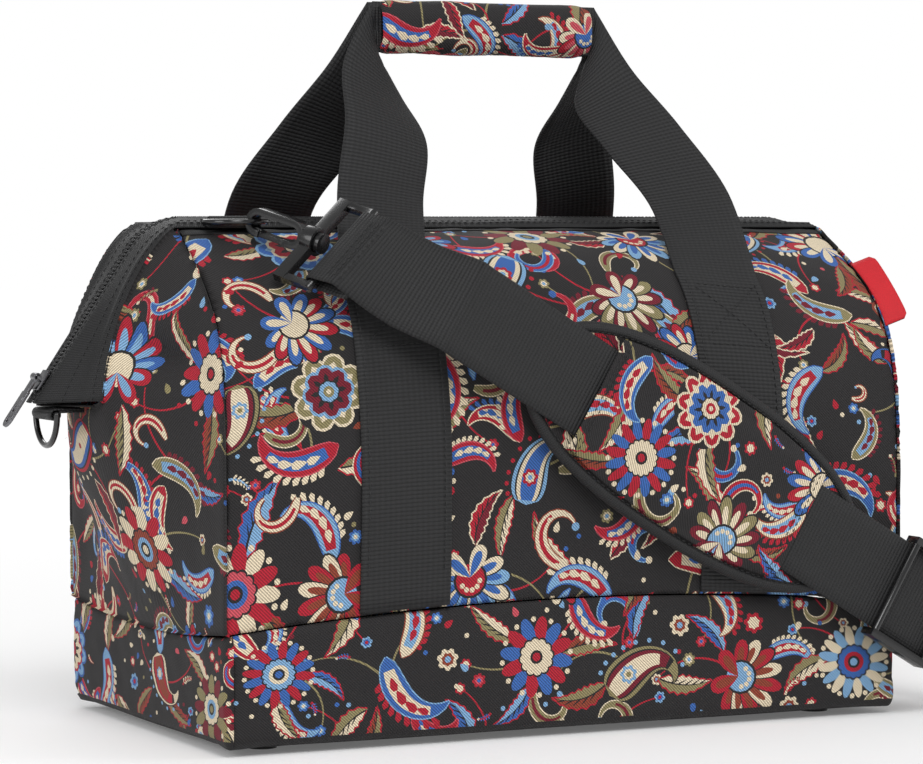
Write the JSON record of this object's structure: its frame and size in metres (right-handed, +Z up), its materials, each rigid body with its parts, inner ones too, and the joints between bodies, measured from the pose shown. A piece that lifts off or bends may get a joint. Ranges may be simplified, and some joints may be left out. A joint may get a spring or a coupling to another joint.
{
  "type": "carpet bag",
  "caption": "Boxy travel bag of black floral cloth with a zip over the top, webbing handles joined by a wrapped grip, and a padded shoulder strap on snap hooks.",
  "frame": {"origin": "centre of the base, on the floor, under the middle stud", "axes": "+X along the bag to the right of its front, +Y to the back, +Z up"},
  "size_m": [0.5407, 0.2629, 0.392],
  "materials": {
    "printed_cloth": "black twill with a floral print",
    "plain_cloth": "plain black cloth",
    "webbing": "ribbed black webbing",
    "zip_tape": "fine ribbed black tape",
    "zip_coil": "satin black coil",
    "grey_metal": "gunmetal",
    "black_metal": "gloss black",
    "black_plastic": "satin black moulding",
    "board": "plain board",
    "steel_wire": "plain wire",
    "red_tag": "woven red tape"
  },
  "bodies": {
    "bag": {"bottom_panel": "plain_cloth", "base_board": "board", "feet": "black_plastic", "base_band": "printed_cloth", "front_panel": "printed_cloth", "back_panel": "printed_cloth", "left_end_panel": "printed_cloth", "right_end_panel": "printed_cloth", "zip_tape_front": "zip_tape", "zip_tape_back": "zip_tape", "zip_coil_front": "zip_coil", "zip_coil_back": "zip_coil", "frame_wire_front": "steel_wire", "frame_wire_back": "steel_wire", "left_end_tab": "webbing", "right_end_tab": "webbing", "handle_front": "webbing", "handle_back": "webbing", "handle_grip": "printed_cloth", "front_ring_tab": "webbing", "back_ring_tab": "webbing", "front_hook_frame": "black_plastic", "back_hook_frame": "black_plastic", "shoulder_strap": "webbing", "side_tag": "red_tag"},
    "slider": {"zip_slider": "grey_metal"},
    "pull": {"zip_pull": "grey_metal"},
    "left_ring": {"left_end_ring": "black_metal"},
    "right_ring": {"right_end_ring": "black_metal"},
    "front_ring": {"front_ring": "black_metal"},
    "back_ring": {"back_ring": "black_metal"},
    "front_hook": {"front_hook": "black_plastic"},
    "front_gate": {"front_hook_gate": "black_plastic"},
    "back_hook": {"back_hook": "black_plastic"},
    "back_gate": {"back_hook_gate": "black_plastic"},
    "adjuster": {"strap_adjuster": "black_plastic", "adjuster_loop": "webbing"},
    "pad": {"shoulder_pad": "plain_cloth", "pad_sleeve": "printed_cloth", "pad_binding": "plain_cloth"}
  },
  "joints": [
    {"name": "zip_slide", "type": "slide", "parent": "bag", "child": "slider", "axis": [0.5593, 0, 0.829], "range_m": [0, 0.055]},
    {"name": "zip_pull_swing", "type": "hinge", "parent": "slider", "child": "pull", "pos_m": [-0.25968, 0, 0.19013], "axis": [0, 1, 0], "range_deg": [0, 150]},
    {"name": "left_end_ring_swing", "type": "hinge", "parent": "bag", "child": "left_ring", "pos_m": [-0.254, 0, 0.1707], "axis": [0, 1, 0], "range_deg": [-35, 20]},
    {"name": "right_end_ring_swing", "type": "hinge", "parent": "bag", "child": "right_ring", "pos_m": [0.254, 0, 0.1707], "axis": [0, -1, 0], "range_deg": [-35, 20]},
    {"name": "front_ring_swing", "type": "hinge", "parent": "bag", "child": "front_ring", "pos_m": [-0.164, -0.04, 0.271], "axis": [1, 0, 0], "range_deg": [-2.5, 2.5]},
    {"name": "back_ring_swing", "type": "hinge", "parent": "bag", "child": "back_ring", "pos_m": [0.164, 0.04, 0.271], "axis": [1, 0, 0], "range_deg": [-2.5, 2.5]},
    {"name": "front_hook_swivel", "type": "hinge", "parent": "bag", "child": "front_hook", "pos_m": [-0.15545, -0.05423, 0.271], "axis": [0.4895, -0.8292, -0.2697], "range_deg": [-8, 8]},
    {"name": "front_gate_swing", "type": "hinge", "parent": "front_hook", "child": "front_gate", "pos_m": [-0.14763, -0.06749, 0.26072], "axis": [0.8608, 0.5089, -0.0022], "range_deg": [0, 12], "stiffness_Nm_per_rad": 0.01},
    {"name": "back_hook_swivel", "type": "hinge", "parent": "bag", "child": "back_hook", "pos_m": [0.1683, 0.05603, 0.271], "axis": [0.2825, 0.8878, -0.3632], "range_deg": [-8, 8]},
    {"name": "back_gate_swing", "type": "hinge", "parent": "back_hook", "child": "back_gate", "pos_m": [0.17273, 0.06964, 0.25925], "axis": [-0.9546, 0.2973, -0.0157], "range_deg": [0, 12], "stiffness_Nm_per_rad": 0.01},
    {"name": "adjuster_slide", "type": "slide", "parent": "bag", "child": "adjuster", "axis": [-0.859, 0, 0.512], "range_m": [0, 0.02]},
    {"name": "pad_slide", "type": "slide", "parent": "bag", "child": "pad", "axis": [0.859, 0, -0.512], "range_m": [-0.03, 0.005]}
  ]
}
